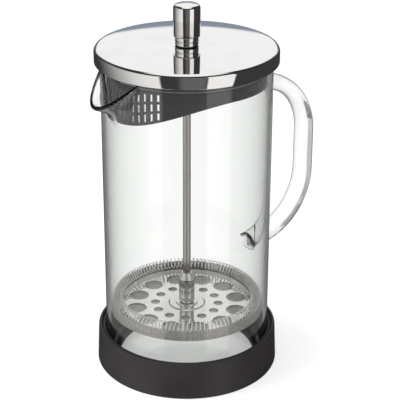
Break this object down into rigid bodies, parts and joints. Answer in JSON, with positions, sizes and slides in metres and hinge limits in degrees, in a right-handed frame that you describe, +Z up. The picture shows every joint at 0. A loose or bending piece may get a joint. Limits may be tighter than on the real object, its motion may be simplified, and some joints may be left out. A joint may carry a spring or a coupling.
{
  "type": "french press",
  "caption": "Glass coffee press: straight beaker with pouring spout and looped glass handle in a dark base ring, steel lid with strainer skirt, and a plunger with perforated plate and gauze.",
  "frame": {"origin": "on the beaker's axis, at the underside of the base ring, in the centre of the ring's open window", "axes": "+Z up along the plunger rod, +X from the axis towards the handle, -X towards the spout, +Y to the side by the right-hand rule"},
  "size_m": [0.1592, 0.1116, 0.2262],
  "materials": {
    "base_body": "matt, very dark brown-black",
    "dark_rubber": "matt",
    "clear_glass": "clear, faint grey-green in thick edges",
    "polished_steel": "mirror-polished stainless steel",
    "smoke_plastic": "glossy, smoky dark grey",
    "plain_steel": "satin",
    "bush_plastic": "matt",
    "coil_steel": "bright drawn wire",
    "gauze": "fine woven wire"
  },
  "bodies": {
    "base": {"base_shell": "base_body", "base_seat_ring": "dark_rubber"},
    "beaker": {"glass_beaker": "clear_glass", "glass_handle": "clear_glass"},
    "guide": {"rod_guide_bush": "bush_plastic"},
    "lid": {"lid_cover": "polished_steel", "lid_strainer": "smoke_plastic", "guide_washer": "plain_steel", "guide_nut": "plain_steel"},
    "plunger": {"plunger_rod": "polished_steel", "knob_shell": "polished_steel", "knob_core": "plain_steel", "knob_collar": "polished_steel", "knob_buffer": "dark_rubber", "hub_sleeve": "polished_steel", "hub_boss": "polished_steel", "spreader_plate": "polished_steel", "edge_spring": "coil_steel", "filter_mesh": "gauze", "cross_plate": "plain_steel", "cap_washer": "plain_steel", "cap_nut": "plain_steel"}
  },
  "joints": [
    {"name": "beaker_lift", "type": "slide", "parent": "base", "child": "beaker", "axis": [0, 0, 1], "range_m": [0, 0.04]},
    {"name": "lid_lift", "type": "slide", "parent": "beaker", "child": "guide", "axis": [0, 0, 1], "range_m": [0, 0.2]},
    {"name": "lid_turn", "type": "hinge", "parent": "guide", "child": "lid", "pos_m": [0, 0, 0.2], "axis": [0, 0, 1], "continuous": true},
    {"name": "plunger_stroke", "type": "slide", "parent": "guide", "child": "plunger", "axis": [0, 0, 1], "range_m": [0, 0.118]}
  ]
}
